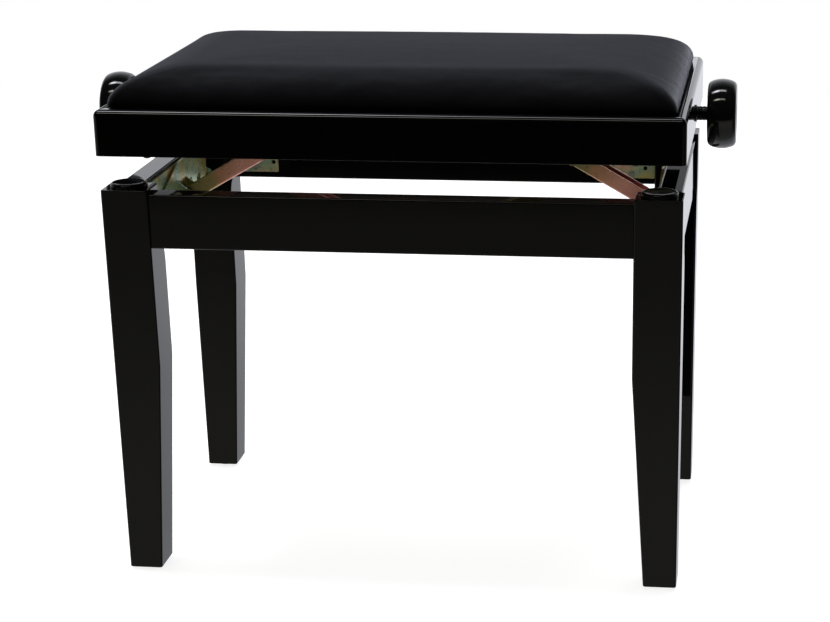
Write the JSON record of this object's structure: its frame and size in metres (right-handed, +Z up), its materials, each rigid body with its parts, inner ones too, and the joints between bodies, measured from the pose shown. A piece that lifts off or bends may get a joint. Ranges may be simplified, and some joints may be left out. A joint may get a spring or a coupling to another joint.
{
  "type": "piano bench",
  "caption": "Height-adjustable piano bench with gloss black legs and frame, padded velour seat, side knobs and a screw-driven half-scissor lift.",
  "frame": {"origin": "on the floor, under the middle of the seat", "axes": "+X along the seat towards the right-hand knob, +Y to the rear, +Z up; the front is at -Y"},
  "size_m": [0.6356, 0.34, 0.499],
  "materials": {
    "black_lacquer": "high-gloss black polyester lacquer over wood",
    "velour": "short-pile black velour",
    "plywood": "dark stained plywood, matt",
    "yellow_zinc": "yellow-passivated zinc plate on sheet steel, iridescent",
    "bright_steel": "bright zinc-plated steel",
    "gloss_black": "glossy black",
    "dark_plastic": "satin black",
    "grey_rubber": "matt grey"
  },
  "bodies": {
    "leg_frame": {"front_apron": "black_lacquer", "front_left_foot_glide": "dark_plastic", "front_left_leg": "black_lacquer", "front_left_leg_pad": "dark_plastic", "front_right_foot_glide": "dark_plastic", "front_right_leg": "black_lacquer", "front_right_leg_pad": "dark_plastic", "left_apron": "black_lacquer", "left_base_bracket": "yellow_zinc", "left_base_pin": "bright_steel", "left_front_tie_plate": "yellow_zinc", "left_rear_tie_plate": "yellow_zinc", "rear_apron": "black_lacquer", "rear_left_foot_glide": "dark_plastic", "rear_left_leg": "black_lacquer", "rear_left_leg_pad": "dark_plastic", "rear_right_foot_glide": "dark_plastic", "rear_right_leg": "black_lacquer", "rear_right_leg_pad": "dark_plastic", "right_apron": "black_lacquer", "right_base_bracket": "yellow_zinc", "right_base_pin": "bright_steel", "right_front_tie_plate": "yellow_zinc", "right_rear_tie_plate": "yellow_zinc"},
    "seat": {"front_board": "black_lacquer", "front_left_frame_bumper": "grey_rubber", "front_right_frame_bumper": "grey_rubber", "left_bearing_plate": "yellow_zinc", "left_board": "black_lacquer", "left_escutcheon": "dark_plastic", "left_front_seat_pin": "bright_steel", "left_rear_seat_pin": "bright_steel", "left_seat_bracket": "yellow_zinc", "rear_board": "black_lacquer", "rear_left_frame_bumper": "grey_rubber", "rear_right_frame_bumper": "grey_rubber", "right_bearing_plate": "yellow_zinc", "right_board": "black_lacquer", "right_escutcheon": "dark_plastic", "right_front_seat_pin": "bright_steel", "right_rear_seat_pin": "bright_steel", "right_seat_bracket": "yellow_zinc", "seat_cushion": "velour", "seat_panel": "plywood"},
    "spindle": {"left_knob": "gloss_black", "left_spindle_sleeve": "gloss_black", "right_knob": "gloss_black", "right_spindle_sleeve": "gloss_black", "spindle_rod": "bright_steel"},
    "left_nut": {"left_nut": "bright_steel"},
    "right_nut": {"right_nut": "bright_steel"},
    "left_arm": {"left_arm": "yellow_zinc"},
    "right_arm": {"right_arm": "yellow_zinc"},
    "left_links": {"left_front_link": "yellow_zinc", "left_rear_link": "yellow_zinc"},
    "right_links": {"right_front_link": "yellow_zinc", "right_rear_link": "yellow_zinc"}
  },
  "joints": [
    {"name": "seat_lift", "type": "slide", "parent": "leg_frame", "child": "seat", "axis": [0, 0, 1], "range_m": [-0.027, 0.047]},
    {"name": "spindle_turn", "type": "hinge", "parent": "seat", "child": "spindle", "pos_m": [0, 0, 0.437], "axis": [1, 0, 0], "range_deg": [-1751.6, 3047.6]},
    {"name": "left_nut_travel", "type": "slide", "parent": "seat", "child": "left_nut", "axis": [-1, 0, 0], "range_m": [-0.01954, 0.03394]},
    {"name": "left_arm_pivot", "type": "hinge", "parent": "leg_frame", "child": "left_arm", "pos_m": [-0.236, 0, 0.3474], "axis": [0, -1, 0], "range_deg": [-10.85, 18.85]},
    {"name": "left_link_pivot", "type": "hinge", "parent": "seat", "child": "left_links", "pos_m": [-0.236, 0, 0.437], "axis": [0, 1, 0], "range_deg": [-10.85, 18.85]},
    {"name": "right_nut_travel", "type": "slide", "parent": "seat", "child": "right_nut", "axis": [1, 0, 0], "range_m": [-0.01954, 0.03394]},
    {"name": "right_arm_pivot", "type": "hinge", "parent": "leg_frame", "child": "right_arm", "pos_m": [0.236, 0, 0.3474], "axis": [0, 1, 0], "range_deg": [-10.85, 18.85]},
    {"name": "right_link_pivot", "type": "hinge", "parent": "seat", "child": "right_links", "pos_m": [0.236, 0, 0.437], "axis": [0, -1, 0], "range_deg": [-10.85, 18.85]}
  ],
  "couplings": [
    {"joint": "spindle_turn", "follows": "seat_lift", "rad_per_m": 1131},
    {"joint": "left_nut_travel", "follows": "seat_lift", "ratio": 0.72},
    {"joint": "left_arm_pivot", "follows": "seat_lift", "rad_per_m": 6.9813},
    {"joint": "left_link_pivot", "follows": "seat_lift", "rad_per_m": 6.9813},
    {"joint": "right_nut_travel", "follows": "seat_lift", "ratio": 0.72},
    {"joint": "right_arm_pivot", "follows": "seat_lift", "rad_per_m": 6.9813},
    {"joint": "right_link_pivot", "follows": "seat_lift", "rad_per_m": 6.9813}
  ]
}
